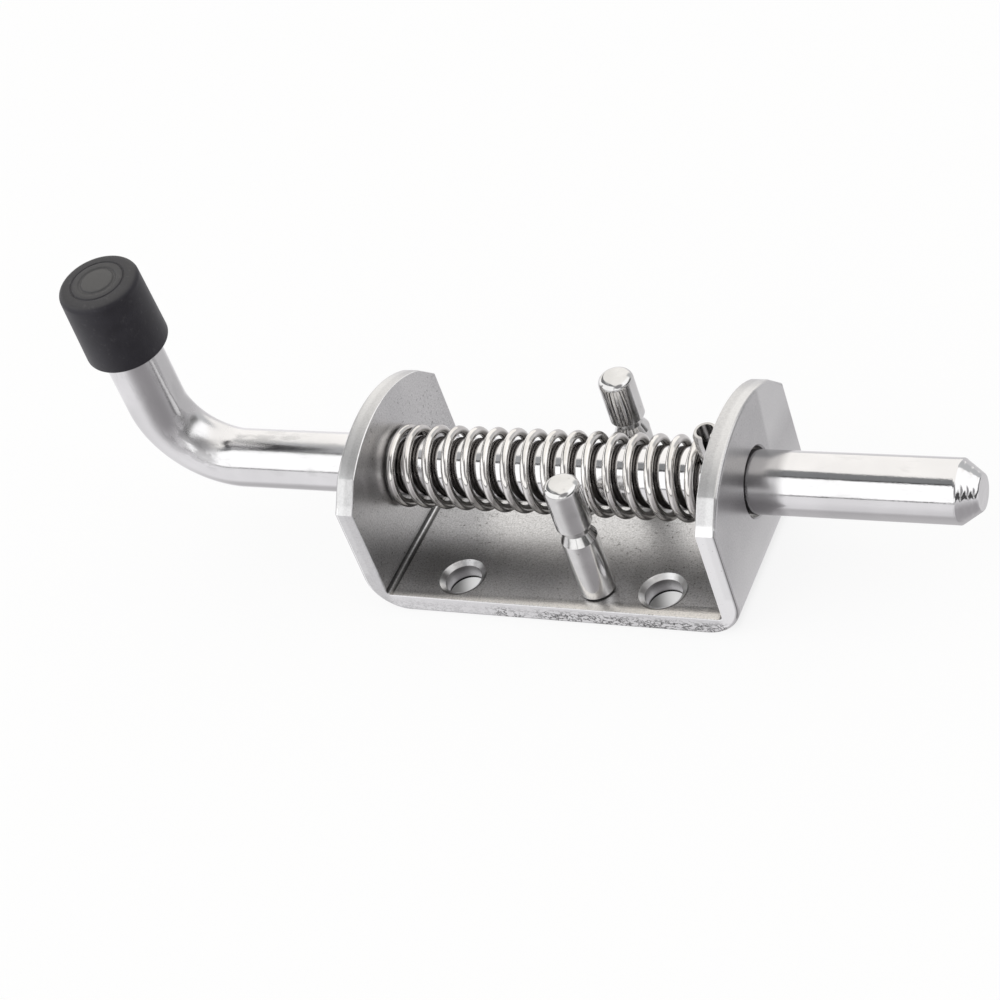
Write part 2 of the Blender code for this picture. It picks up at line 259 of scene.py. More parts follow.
def turned(profile, sides=96):
    """Spin (radius, height) points about Z."""
    bm = bmesh.new()
    points = [bm.verts.new((radius, 0, height)) for radius, height in profile]
    lines = [bm.edges.new(pair) for pair in zip(points, points[1:])]
    bmesh.ops.spin(bm, geom=points + lines, cent=(0, 0, 0), axis=(0, 0, 1), angle=2 * pi,
                   steps=sides, use_merge=True)
    bmesh.ops.remove_doubles(bm, verts=bm.verts[:], dist=ALMOST_NOTHING)
    return bm


def extruded(outline, axis, start, end):
    """Extrude a closed outline along X or Y."""
    bm = bmesh.new()
    if axis == "X":
        corners = [bm.verts.new((start, a, b)) for a, b in outline]
        shift = (end - start, 0, 0)
    else:
        corners = [bm.verts.new((a, start, b)) for a, b in outline]
        shift = (0, end - start, 0)
    grown = bmesh.ops.extrude_face_region(bm, geom=[bm.faces.new(corners)])["geom"]
    bmesh.ops.translate(bm, verts=[v for v in grown if isinstance(v, bmesh.types.BMVert)], vec=shift)
    return bm


print("turned and extruded are ready")

# %% Moving and finishing a piece
def move(bm, shift):
    bmesh.ops.translate(bm, verts=bm.verts[:], vec=shift)


def turn(bm, angle, axis):
    bmesh.ops.rotate(bm, verts=bm.verts[:], cent=(0, 0, 0), matrix=Matrix.Rotation(angle, 3, axis))


def to_mesh(name, bm):
    bmesh.ops.recalc_face_normals(bm, faces=bm.faces[:])
    mesh = bpy.data.meshes.new(name)
    bm.to_mesh(mesh)
    bm.free()
    return mesh


def finished(name, mesh, finish, body, node, corner=32):
    """Shade a mesh, give it its material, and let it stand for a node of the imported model."""
    mesh.shade_smooth()
    mesh.set_sharp_from_angle(angle=radians(corner))
    mesh.materials.clear()
    mesh.materials.append(finish)
    piece = bpy.data.objects.new(name, mesh)
    scene.collection.objects.link(piece)
    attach(piece, body)
    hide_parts(node)
    triangles = sum(len(face.vertices) - 2 for face in mesh.polygons)
    print(name, "stands for", node, "with", triangles, "triangles")
    return piece


def carved(target, cutters):
    """Cut a mesh with others by Booleans, and return the result as a mesh. The cutters are used up."""
    work = bpy.data.objects.new("work", target)
    scene.collection.objects.link(work)
    tools = []
    for operation, mesh in cutters:
        tool = bpy.data.objects.new("tool", mesh)
        scene.collection.objects.link(tool)
        tools.append(tool)
        step = work.modifiers.new("carve", "BOOLEAN")
        step.operation = operation
        step.object = tool
        step.solver = "EXACT"
    bpy.context.view_layer.update()
    result = bpy.data.meshes.new_from_object(work.evaluated_get(bpy.context.evaluated_depsgraph_get()))
    for used in [work] + tools:
        bpy.data.objects.remove(used)
    return result


print("finished and carved are ready")

# %% [markdown]
# Satin stainless sheet, for the bracket.
# The sheet was tumbled after folding: no direction in the grain, a soft grey sheen, and fine dark pits. A noise
# of a third of a millimetre gives the grain, a second one its pits, and a slow one the cloudiness.
# A finish that marks a hole or a fold has to know where it is, so the sizes that it shares with the shape come
# first. Each mask then says in its name what it finds, from the surface's place and its own direction.

# %% Sizes that the bracket's shape and finish share
BAR_HEIGHT = 19.5 * MM
SCREW_X = 21.25 * MM
SCREW_Y = 14.35 * MM
print("screw holes", 2 * SCREW_X / MM, "by", 2 * SCREW_Y / MM, "mm apart")


# %% Screw holes in the finish
def from_screw(x, y):
    """The way from the middle of the nearest screw hole, along X and along Y."""
    return x - x.reckon("SIGN") * SCREW_X, y - y.reckon("SIGN") * SCREW_Y


def hole_masks(f, x, y, z, nz):
    """Screw holes: walls in painted shade, broken rims with painted highlights, a painted shade line on each
    rim's near side.
    """
    aside = f.add("ShaderNodeCombineXYZ", None, {0: abs(x) - SCREW_X, 1: abs(y) - SCREW_Y})
    reach = f.distance(aside, (0, 0, 0))
    wall = (1 - reach.past(3.72, 3.80)) * (1 - z.past(3.1, 3.3))
    rim = (1 - reach.past(4.7, 4.8)) * nz.fade(0.3, 0.5) * (1 - nz.fade(0.90, 0.96))
    across, away = from_screw(x, y)
    near = (0.59 * across - 0.81 * away).past(0.5, 2.5)
    outline = reach.between(4.5, 4.95, 0.15) * near * nz.fade(0.3, 0.5)
    return wall, rim, outline


print("hole masks are ready")

# %% [markdown]
# The cut edges look different from the faces: lighter, and torn in their lower half where the blade broke
# through. A line where a noise crosses its middle value wriggles like a tear.
# Bright steel takes much of its look from what stands round it. Some of that is painted on the sheet here as
# reflections and shade, because the studio alone doesn't give it: a cream band along the plate's front edge, a
# patch on the right ear, a light foot, thin light and dark lines down the folds and corners, bright rims and dark
# walls in the screw holes, and highlights on the cut edges. These aren't wear.

# %% Edges and folds in the finish
def torn_mask(f, spot, side, patches):
    """Torn metal low on the sheared sides, more of it to the right."""
    x, _, z = f.split(spot)
    tear = abs(f.noise(spot, 1.6, detail=3, rough=0.65, stretch=(0.8, 1, 1.4)) - 0.5)
    low = (1 - z.past(1.9, 3.8)) * z.past(0.1, 0.6)
    torn = (1 - tear.fade(0.010, 0.055)) * low * side * (0.35 + 0.65 * patches.fade(0.36, 0.48))
    return torn * (0.25 + 0.75 * x.past(-18, -8))


def crease_shade_mask(x, z, nz):
    """Painted shade: the dark lines on both sides of the tight fold inside each ear."""
    fold = abs(x).between(34.2, 35.4, 0.2) * z.between(3.8, 5.1, 0.2)
    return fold * (1 - nz.within(0.64, 0.80, 0.10))


def brow_mask(x, y, z, nz):
    """Painted reflection: the cream band on the plate along its front edge."""
    plate_top = nz.fade(0.9, 0.97) * z.between(3.8, 4.2, 0.1)
    return (1 - (y - 0.02 * x).past(-20.0, -18.2)) * plate_top * (0.65 + 0.35 * x.past(-12, 14))


def painted_sheen_mask(x, y, z):
    """Painted sheen: the ears' light feet, and the light patch at the back of the right ear's outer face."""
    foot = (1 - z.past(6, 20)) * abs(x).past(38.5, 39.0)
    patch = (y - 0.12 * z).past(5.0, 6.4) * x.past(38.5, 39.0) * z.past(16, 24)
    return (foot * 0.45).at_least(patch * 0.45)


def edge_highlight_mask(x, z, nx):
    """Painted highlight: the light line down the inner corner of each ear's edge."""
    slanting = abs(nx).fade(0.30, 0.45) * (1 - abs(nx).fade(0.88, 0.95))
    return slanting * z.past(9.0, 10.0) * abs(x).between(34.8, 35.6, 0.1)


print("edge and fold masks are ready")

# %% Colours of the sheet's faces and of its cut edges
def face_colour(f, grain, cloud, pits, inner, toothed):
    """Grey, lighter inside the fold, with a light and dark grain and dark pits."""
    colour = f.blend(cloud.fade(0.3, 0.7), grey(0.53, -0.004, 0.010), grey(0.62, 0.002, 0.008))
    colour = f.blend(inner * 0.22, colour, grey(0.82, 0.0, 0.006))
    colour = f.blend((1 - grain.fade(0.34, 0.52)) * 0.55 * toothed, colour, grey(0.26, 0.01))
    colour = f.blend(grain.fade(0.52, 0.68) * 0.60 * toothed, colour, grey(0.86))
    return f.blend(pits * (0.2 + 0.6 * inner), colour, grey(0.09, 0.06))


def edge_colour(f, x, z, side, top, grain, speck, torn):
    """Lighter than the faces; painted highlights down the right ear's front and the tops' outer side; darker at
    the left ear's foot.
    """
    right_front_highlight = side * x.past(34, 36)
    left_low = (1 - x.past(-36, -34)) * (1 - z.past(30, 34))
    outer_band_highlight = abs(x).past(36.8, 37.6) * top
    colour = f.blend(side, grey(0.56, 0.0, 0.006), grey(0.76, 0.0, 0.006))
    # painted highlights: the right ear's front, and further down, the outer side of the tops
    colour = f.blend(right_front_highlight, colour, grey(1.0))
    colour = f.blend(left_low * 0.45, colour, grey(0.40))
    colour = f.blend(outer_band_highlight * 0.4, colour, grey(0.80))
    colour = f.blend(grain.fade(0.35, 0.65) * 0.22, colour, grey(0.95))
    colour = f.blend((1 - speck.fade(0.27, 0.33)) * 0.7, colour, grey(0.15))
    return f.blend(torn * 0.85, colour, grey(0.05))


print("sheet colours are ready")

# %% Satin sheet
def satin_sheet():
    f = new_material("satin_sheet")
    spot = f.where()
    x, y, z = f.split(spot)
    nx, ny, nz = f.split(f.facing())
    grain = f.noise(spot, 0.36, detail=3, rough=0.75)
    speck = f.noise(spot, 0.70, detail=4, rough=0.8)
    patches = f.noise(spot, 9, detail=3, rough=0.6)
    cloud = f.noise(spot, 16, detail=3, rough=0.55)
    pits = (1 - speck.fade(0.32, 0.43)) * (0.25 + patches.fade(0.42, 0.62))
    inner = z.past(3.6, 3.9) * (1 - abs(x).past(36.2, 36.6))
    toothed = 0.35 + 0.65 * inner * (1 - 0.7 * z.past(14, 24))
    side = abs(ny).fade(0.5, 0.8) * abs(y).past(19.2, 19.8)
    top = (1 - abs(nx).fade(0.3, 0.6)) * z.past(9.0, 10.0)
    cut = side.at_least(top)
    torn = torn_mask(f, spot, side, patches)
    brow = brow_mask(x, y, z, nz)
    wall, rim, outline = hole_masks(f, x, y, z, nz)
    corner = abs(y).past(19.7, 19.9) * abs(x).past(38.0, 38.4)
    glint = abs(nx).within(0.08, 0.28, 0.06) * corner
    dark_reflection_line = abs(nx).within(0.48, 0.62, 0.08) * corner

    face = face_colour(f, grain, cloud, pits, inner, toothed)
    # painted shade in the creases beside each inner fold
    face = f.blend(crease_shade_mask(x, z, nz) * 0.8, face, grey(0.08, 0.02))
    # painted cream reflection along the plate's front edge
    face = f.blend(brow * (0.60 + 0.30 * grain.fade(0.35, 0.65)), face, grey(0.96, 0.045, -0.006))
    # painted sheen on the ears' feet and on the right ear's outer face
    face = f.blend(painted_sheen_mask(x, y, z), face, grey(0.86))
    colour = f.blend(cut, face, edge_colour(f, x, z, side, top, grain, speck, torn))
    # painted highlight and painted dark reflection line on the ears' rolled outer corners
    colour = f.blend(glint * 0.95, colour, grey(1.0))
    colour = f.blend(dark_reflection_line * 0.75, colour, grey(0.20))
    # painted highlight down the inner corner of each ear's edge
    colour = f.blend(edge_highlight_mask(x, z, nx) * 0.8, colour, grey(0.97))
    # painted shade round each screw hole's near rim and in its walls, black at their foot; painted highlights on
    # the broken rims
    colour = f.blend(outline * 0.7, colour, grey(0.10, 0.02))
    colour = f.blend(wall * (0.36 + 0.5 * z.past(1.0, 2.8)), colour, grey(0.10, 0.02))
    colour = f.blend(wall * (1 - z.past(0.3, 0.7)), colour, grey(0.01))
    colour = f.blend(rim * (0.05 + 0.9 * patches.fade(0.42, 0.60)), colour, grey(0.86))
    roughness = 0.25 + 0.08 * cloud + 0.12 * pits + 0.05 * cut
    front_roll = brow * (y + 20.7 * MM) / (2.0 * MM)
    height = 0.7 * grain * toothed - 0.3 * pits - 1.6 * torn + 5.0 * front_roll
    return f.metal(colour, roughness, height, strength=0.40, distance=0.06)


SATIN = satin_sheet()

# %% [markdown]
# Bright drawn bar, for the bolt.
# Drawing pulls the bar through a die and leaves faint lines along it. They have to follow the bend, so the piece
# carries an attribute with the coordinates that each point had while the bar was straight, and the lines are
# noise stretched along it. Bending crushed the inside of the bend a little, so marks gather there. The nose was
# turned in a lathe, so its cone shows rings instead. Two soft shades are fixed to the bar as well, where the
# picture shows dark surroundings in it: just outside the right ear, and along the bend and the handle.

# %% Drawn bar
def drawn_bar():
    f = new_material("drawn_bar")
    straight = f.add("ShaderNodeAttribute", {"attribute_name": "while_straight"}, out="Vector")
    along, across, up = f.split(straight)
    lines = f.noise(straight, 0.6, detail=3, rough=0.6, stretch=(0.03, 1, 1))
    fine = f.noise(straight, 0.35, detail=3, rough=0.7, stretch=(0.5, 1, 1))
    marks = f.noise(straight, 3.5, detail=5, rough=0.7, stretch=(0.3, 1, 1))
    folds = f.noise(straight, 1.5, detail=3, rough=0.6, stretch=(0.28, 1, 1))
    wobble = f.noise(straight, 5, detail=2, rough=0.5, stretch=(0.4, 1, 1))
    cloud = f.noise(straight, 12, detail=3)
    rings = f.add("ShaderNodeTexWave", {"bands_direction": "X"},
                  {"Vector": straight, "Scale": 300.0, "Distortion": 5.0, "Detail": 2.0})

    crushed = along.between(-90.5, -78.5, 4) * up.past(0.5, 4.0)
    rubbed = along.between(-78, -48, 8) * up.past(1.0, 5.0)
    dulled_and_shaded = along.between(38, 44.5, 2.5)
    squeezed_and_shaded = (1 - along.past(-94, -84)) * up.past(1.5, 4.5)
    outer_bend_shade = along.between(-97, -80, 6) * (1 - up.past(-3.5, 0.5))
    cone = along.past(77.6, 78.0)
    scuff = (marks.fade(0.56, 0.66) * 0.35 + marks.fade(0.50, 0.62) * rubbed * 0.4).at_most(1.0)
    pressed = crushed * folds.fade(0.44, 0.60) * (1 - across.past(-3.5, -1.0))

    colour = f.blend(cloud.fade(0.3, 0.7), grey(0.74, 0.0, 0.008), grey(0.80, 0.0, 0.008))
    colour = f.blend(scuff * 0.35, colour, grey(0.44))
    colour = f.blend(pressed * 0.45, colour, grey(0.22, 0.0, 0.03))
    # painted shade: dark reflections just outside the right ear and along the bend and the handle
    colour = f.blend(dulled_and_shaded * 0.75, colour, grey(0.40, 0.0, 0.02))
    colour = f.blend(squeezed_and_shaded * 0.45 + outer_bend_shade * 0.40, colour, grey(0.42, 0.0, 0.01))
    roughness = (0.045 + 0.05 * lines + 0.16 * scuff + 0.03 * cloud + 0.10 * pressed
                 + 0.09 * rubbed + 0.12 * dulled_and_shaded + 0.06 * squeezed_and_shaded + 0.14 * crushed)
    height = (0.3 * lines + 0.35 * fine + 0.3 * marks + 0.5 * wobble
              + crushed * (0.9 * wobble + 0.8 * folds) + rubbed * 0.7 * folds + cone * rings * 2.0)
    return f.metal(colour, roughness, height, strength=0.25, distance=0.08)


BRIGHT = drawn_bar()

# %% [markdown]
# Spring wire, turned posts and rolled pin.
# All three are bright steel, but not the same. The wire is bright outside; inside the coil, where it faces the
# bar, it is painted dark as shade and made rougher. The inside is found by comparing the surface's direction with
# the way out from the bar's axis. The wire's underside is toned down too, as the dark plate below shows in it.
# The posts are polished with faint rings from the lathe. The pin is hardened sheet.

# %% Spring wire
COIL_RADIUS = 7.4 * MM


def spring_wire():
    f = new_material("spring_wire")
    spot = f.where()
    _, y, z = f.split(spot)
    _, ny, nz = f.split(f.facing())
    outward = (ny * y + nz * (z - BAR_HEIGHT)) / COIL_RADIUS
    inside = (1 - outward.fade(-0.30, 0.35)) * (1 - 0.6 * z.past(20.5, 25.5))
    underside = 1 - nz.fade(-0.50, 0.20)
    grain = f.noise(spot, 0.4, detail=3, rough=0.6)
    cloud = f.noise(spot, 4, detail=3)
    colour = f.blend(cloud.fade(0.3, 0.7), grey(0.66, 0.03), grey(0.80, 0.02))
    colour = f.blend(underside * 0.85, colour, grey(0.13, 0.07))
    # painted shade inside the coil, between the wire and the bar
    colour = f.blend(inside * (0.85 + 0.15 * cloud), colour, grey(0.04, 0.14))
    roughness = 0.05 + 0.06 * cloud + 0.03 * grain + 0.22 * inside
    return f.metal(colour, roughness, grain * (1 - inside), strength=0.12, distance=0.04)


WIRE = spring_wire()

# %% Turned posts
def turned_post():
    f = new_material("turned_post")
    spot = f.where()
    rings = f.noise(spot, 0.8, detail=3, rough=0.6, stretch=(0.08, 0.08, 1))
    pits = 1 - f.noise(spot, 1.0, detail=3, rough=0.75).fade(0.27, 0.35)
    cloud = f.noise(spot, 6, detail=3)
    colour = f.blend(cloud.fade(0.3, 0.7), grey(0.63, 0.008), grey(0.74, 0.006))
    colour = f.blend(pits * 0.5, colour, grey(0.25))
    roughness = 0.08 + 0.08 * cloud + 0.05 * rings
    return f.metal(colour, roughness, rings - pits, strength=0.14, distance=0.05)


TURNED = turned_post()

# %% Rolled pin
def rolled_pin():
    f = new_material("rolled_pin")
    spot = f.where()
    grain = f.noise(spot, 0.5, detail=3, rough=0.6)
    cloud = f.noise(spot, 3, detail=3)
    colour = f.blend(cloud.fade(0.3, 0.7), grey(0.50, 0.02), grey(0.66, 0.01))
    return f.metal(colour, 0.20 + 0.12 * cloud, grain, strength=0.15, distance=0.04)


PINNED = rolled_pin()

# %% [markdown]
# Moulded rubber, for the cap.
# Soft black rubber is never quite black: it scatters a little grey light and has a faint even tooth from the
# mould. The flat top is painted a lighter, warmer grey as a sheen from the light above, most in its middle, and
# is a little rougher. The surface's direction along the handle tells it from the side.

# %% Direction of the handle
BEND = radians(94.0)
TILT = radians(3.8)
handle_way = Vector((-cos(BEND), 0, sin(BEND)))
CAP_WAY = handle_way.copy()
CAP_WAY.rotate(Matrix.Rotation(TILT, 3, "X"))
CAP_TOP = Vector((-84.62, -3.23, 68.16)) * MM
print("the handle points", [round(v, 3) for v in CAP_WAY])


# %% Moulded rubber
def moulded_rubber():
    f = new_material("moulded_rubber")
    spot = f.where()
    tooth = f.noise(spot, 0.4, detail=2, rough=0.6)
    cloud = f.noise(spot, 5, detail=3)
    dust = f.noise(spot, 1.2, detail=4, rough=0.7).fade(0.55, 0.75)
    top = f.along(f.facing(), CAP_WAY).fade(0.60, 0.95)
    top_sheen_disc = top * (1 - f.distance(spot, CAP_TOP).past(2.6, 6.0))
    colour = f.blend(cloud.fade(0.3, 0.7), grey(0.014, -0.14, 0.22), grey(0.021, -0.12, 0.18))
    # painted sheen: the flat top lighter and warmer, most in its middle
    colour = f.blend(top * 0.40 + top_sheen_disc * 0.50, colour, grey(0.088, 0.015))
    colour = f.blend(dust * 0.10, colour, grey(0.22, 0.02))
    return f.close(f.add("ShaderNodeBsdfPrincipled", None,
                         {"Base Color": colour, "Roughness": 0.38 + 0.16 * cloud + 0.12 * top,
                          "Specular IOR Level": 0.40,
                          "Normal": f.bump(tooth + 0.5 * cloud, 0.14, 0.06)}))


RUBBER = moulded_rubber()

# %% [markdown]
# The bracket: one folded sheet.
# The real one is stamped flat, drilled, and folded up at both ends. A fold stretches the sheet, so it is tight
# inside and wide outside. Here the folded section is drawn once, seen from the front, and extruded across the
# depth. A second outline, the ears seen from the side, trims it, and the holes are carved last, so that a small
# bevel can round the sheet's edges first without touching the holes.

# %% Bracket sizes
SHEET = 4.0 * MM
HALF = 39.25 * MM
EAR_INSIDE = HALF - SHEET
HALF_DEPTH = 20.75 * MM
EAR_TOP = 35.2 * MM
EAR_SIDE = 25.4 * MM
FACET = (4.6 * MM, 4.8 * MM)
INNER_FOLD = 0.8 * MM
OUTER_FOLD = 8.0 * MM
ROLLED_OVER = 0.75 * MM
BURRED = 0.25 * MM
OVER = 1.0 * MM  # how far a cutter reaches past what it cuts
print("bracket", 2 * HALF / MM, "by", 2 * HALF_DEPTH / MM, "by", EAR_TOP / MM, "mm")


# %% Folded section and ear outline
def folded_section():
    wall = EAR_INSIDE - INNER_FOLD
    floor = SHEET + INNER_FOLD
    top = EAR_TOP + OVER
    line = [(-HALF, top)]
    line += arc((-HALF + OUTER_FOLD, OUTER_FOLD), OUTER_FOLD, 180, 270, 24)
    line += arc((HALF - OUTER_FOLD, OUTER_FOLD), OUTER_FOLD, 270, 360, 24)
    line += [(HALF, top), (EAR_INSIDE, top)]
    line += arc((wall, floor), INNER_FOLD, 0, -90, 10)
    line += arc((-wall, floor), INNER_FOLD, 270, 180, 10)
    return line + [(-EAR_INSIDE, top)]


def ear_outline():
    """A facet at each side, and between them an arc through the ear's top."""
    end_y = HALF_DEPTH - FACET[0]
    end_z = EAR_SIDE + FACET[1]
    drop = EAR_TOP - end_z
    radius = (end_y ** 2 + drop ** 2) / (2 * drop)
    lean = degrees(asin(end_y / radius))
    line = [(HALF_DEPTH, -OVER), (HALF_DEPTH, EAR_SIDE)]
    line += arc((0, EAR_TOP - radius), radius, 90 - lean, 90 + lean, 72)
    return line + [(-HALF_DEPTH, EAR_SIDE), (-HALF_DEPTH, -OVER)]


print("section of", len(folded_section()), "points, ears of", len(ear_outline()))

# %% Fold the sheet and trim it
section = extruded(folded_section(), "Y", -HALF_DEPTH - OVER, HALF_DEPTH + OVER)
ears = extruded(ear_outline(), "X", -HALF - OVER, HALF + OVER)
sheet = carved(to_mesh("folded_sheet", section), [("INTERSECT", to_mesh("trim", ears))])
print("folded and trimmed to", len(sheet.polygons), "faces")


# %% Break its edges
def on_the_outside(edge):
    """True on the outer skin: an ear's outer face, the underside, or the wide curve between them."""
    middle = (edge.verts[0].co + edge.verts[1].co) / 2
    curve = hypot(max(abs(middle.x) - HALF + OUTER_FOLD, 0), max(OUTER_FOLD - middle.z, 0))
    return curve > OUTER_FOLD - 0.05 * MM


bm = bmesh.new()
bm.from_mesh(sheet)
bmesh.ops.dissolve_limit(bm, angle_limit=radians(0.5), verts=bm.verts[:], edges=bm.edges[:])
sharp = [edge for edge in bm.edges if edge.is_manifold and edge.calc_face_angle() > radians(50)]
outer = [edge for edge in sharp if on_the_outside(edge)]
inner = [edge for edge in sharp if not on_the_outside(edge)]
for edges, width, steps in ((outer, ROLLED_OVER, 5), (inner, BURRED, 3)):
    bmesh.ops.bevel(bm, geom=edges, offset=width, offset_type="OFFSET", segments=steps, profile=0.5,
                    affect="EDGES", material=-1, clamp_overlap=True)
print("rolled over", len(outer), "outer edges and broke", len(inner), "inner ones")
folded = to_mesh("folded_sheet", bm)

# %% Sizes of the holes
SCREW_BORE, SCREW_RIM, SCREW_CHAMFER = 3.7 * MM, 4.7 * MM, 0.8 * MM
BAR_BORE, BAR_CHAMFER = 6.6 * MM, 0.3 * MM
TAIL_BORE, TAIL_SINK, TAIL_MOUTH = 2.8 * MM, 1.5 * MM, 4.883 * MM
POST_X = 8.2 * MM
POST_Y = 14.9 * MM
print("screw holes of", 2 * SCREW_BORE / MM, "mm, bar holes of", 2 * BAR_BORE / MM, "mm")


# %% Drill the holes
def screw_hole(x, y):
    """A cutter for a round hole through the plate with a broken upper rim."""
    slope = (SCREW_RIM - SCREW_BORE) / SCREW_CHAMFER
    bm = turned([(0, -OVER), (SCREW_BORE, -OVER), (SCREW_BORE, SHEET - SCREW_CHAMFER),
                 (SCREW_RIM + slope * OVER, SHEET + OVER), (0, SHEET + OVER)], 72)
    move(bm, (x, y, 0))
    return to_mesh("hole", bm)


def bar_hole():
    """A cutter along X through both ears, with broken rims."""
    mouth = BAR_BORE + BAR_CHAMFER + OVER
    ends = [(mouth, EAR_INSIDE - OVER), (BAR_BORE, EAR_INSIDE + BAR_CHAMFER),
            (BAR_BORE, HALF - BAR_CHAMFER), (mouth, HALF + OVER), (0, HALF + OVER)]
    mirrored = [(radius, -height) for radius, height in reversed(ends)]
    bm = turned(mirrored + ends, 96)
    turn(bm, pi / 2, "Y")
    move(bm, (0, 0, BAR_HEIGHT))
    return to_mesh("bar_hole", bm)


def tail_hole(y):
    """A cutter for a post's tenon, sunk from below for its riveted tail."""
    bm = turned([(0, -OVER), (TAIL_MOUTH, -OVER), (TAIL_BORE, TAIL_SINK), (TAIL_BORE, SHEET + OVER),
                 (0, SHEET + OVER)], 64)
    move(bm, (POST_X, y, 0))
    return to_mesh("tail_hole", bm)


holes = [bar_hole()]
holes += [screw_hole(x, y) for x in (-SCREW_X, SCREW_X) for y in (-SCREW_Y, SCREW_Y)]
holes += [tail_hole(y) for y in (-POST_Y, POST_Y)]
drilled = carved(folded, [("DIFFERENCE", hole) for hole in holes])
bracket = finished("folded_bracket", drilled, SATIN, "bracket", "bracket")
weighted = bracket.modifiers.new("flat_faces_lead", "WEIGHTED_NORMAL")
weighted.keep_sharp = True
weighted.weight = 80

# %% [markdown]
# The two posts.
# Each is turned from rod: a V groove at the bar's height catches the roll pin, and the end is rounded over. Its
# lower end is a thin tenon through the plate, riveted over from below. One profile, spun, makes the whole post.

# %% Posts
POST = 3.5 * MM
POST_TOP = SHEET + 27.4 * MM
POST_ROUND = 1.7 * MM
FOOT_BREAK = 0.15 * MM
GROOVE_HALF = 1.8 * MM
GROOVE_DEPTH = 0.9 * MM
TENON = 2.5 * MM
RIVET = 3.5 * MM
SEAT = 0.3 * MM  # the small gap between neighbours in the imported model


def post(y):
    profile = [(0, SEAT), (RIVET, SEAT), (TENON, TAIL_SINK), (TENON, SHEET + SEAT),
               (POST - FOOT_BREAK, SHEET + SEAT), (POST, SHEET + SEAT + FOOT_BREAK),
               (POST, BAR_HEIGHT - GROOVE_HALF), (POST - GROOVE_DEPTH, BAR_HEIGHT),
               (POST, BAR_HEIGHT + GROOVE_HALF)]
    profile += arc((POST - POST_ROUND, POST_TOP - POST_ROUND), POST_ROUND, 0, 90, 14)
    profile.append((0, POST_TOP))
    bm = turned(profile, 96)
    move(bm, (POST_X, y, 0))
    return bm


for name, node, y in (("grooved_post_front", "front_post", -POST_Y),
                      ("grooved_post_rear", "rear_post", POST_Y)):
    finished(name, to_mesh(name, post(y)), TURNED, "bracket", node, corner=24)

# %% [markdown]
# The bolt bar.
# On the bench this is one length of round bar: the nose is chamfered, a cross hole is drilled for the pin, and
# the other end is bent up into the handle. A ring of edges is carried along the same path: drawn straight, spun
# through the bend, and drawn straight again. A close ring on each side of an edge keeps the shading of the long
# faces flat. Each new ring keeps its points in step, so the attribute for the drawn lines can be worked out from
# the finished points.

# %% Bar sizes
BAR = 6.0 * MM
NOSE_END = 81.45 * MM
NOSE_CONE = 3.6 * MM
NOSE_FACE = 3.45 * MM
NOSE_BREAK = 0.15 * MM
BEND_START = -71.95 * MM
BEND_RADIUS = 15.0 * MM
HANDLE = 29.5 * MM
PIN_X = 32.45 * MM
LEAN = Matrix.Translation((0, 0, BAR_HEIGHT)) @ Matrix.Rotation(TILT, 4, "X")
handle_foot = Vector((BEND_START - BEND_RADIUS * sin(BEND), 0, BEND_RADIUS * (1 - cos(BEND))))
print("handle starts at mm", [round(v / MM, 1) for v in handle_foot])


# %% Rings of the nose, as how far back each lies and how wide it is
CLOSE = 0.2 * MM
TIP = 0.12 * MM
SHOULDER = 0.08 * MM
shoulder_radius = BAR - 0.06 * MM
cone_slope = (shoulder_radius - NOSE_FACE) / (NOSE_CONE - SHOULDER - TIP)
nose_rings = ((TIP, NOSE_FACE),
              (TIP + CLOSE, NOSE_FACE + CLOSE * cone_slope),
              (NOSE_CONE - SHOULDER - CLOSE, shoulder_radius - CLOSE * cone_slope),
              (NOSE_CONE - SHOULDER, shoulder_radius),
              (NOSE_CONE + SHOULDER, BAR),
              (NOSE_CONE + SHOULDER + 0.3 * MM, BAR))
print("the nose widens by", round(cone_slope, 3), "mm a mm")


# %% Draw the bar along its path
def carry(bm, ring, shift, scale=1.0):
    """Extrude a ring of edges, shift it, scale it about its centre, and return it."""
    grown = bmesh.ops.extrude_edge_only(bm, edges=ring)["geom"]
    points = [item for item in grown if isinstance(item, bmesh.types.BMVert)]
    bmesh.ops.translate(bm, verts=points, vec=shift)
    if scale != 1.0:
        middle = sum((point.co for point in points), Vector()) / len(points)
        bmesh.ops.scale(bm, verts=points, vec=(scale,) * 3, space=Matrix.Translation(-middle))
    return [item for item in grown if isinstance(item, bmesh.types.BMEdge)]


def last_ring(spun):
    return [item for item in spun["geom_last"] if isinstance(item, bmesh.types.BMEdge)]


STRETCHES = 24
bm = bmesh.new()
reached, radius = 0.0, NOSE_FACE - NOSE_BREAK
bmesh.ops.create_circle(bm, segments=96, radius=radius)
turn(bm, pi / 2, "Y")
move(bm, (NOSE_END, 0, 0))
nose_ring = bm.edges[:]
ring = nose_ring
for back_by, wider in nose_rings:
    ring = carry(bm, ring, (reached - back_by, 0, 0), wider / radius)
    reached, radius = back_by, wider
for stretch in range(STRETCHES):
    ring = carry(bm, ring, ((BEND_START - NOSE_END + reached) / STRETCHES, 0, 0))
ring = last_ring(bmesh.ops.spin(bm, geom=ring, cent=(BEND_START, 0, BEND_RADIUS), axis=(0, 1, 0),
                                angle=BEND, steps=48))
ring = carry(bm, ring, handle_way * HANDLE)
bmesh.ops.edgeloop_fill(bm, edges=nose_ring)
bmesh.ops.edgeloop_fill(bm, edges=ring)
print("bar swept through", len(bm.faces), "faces")

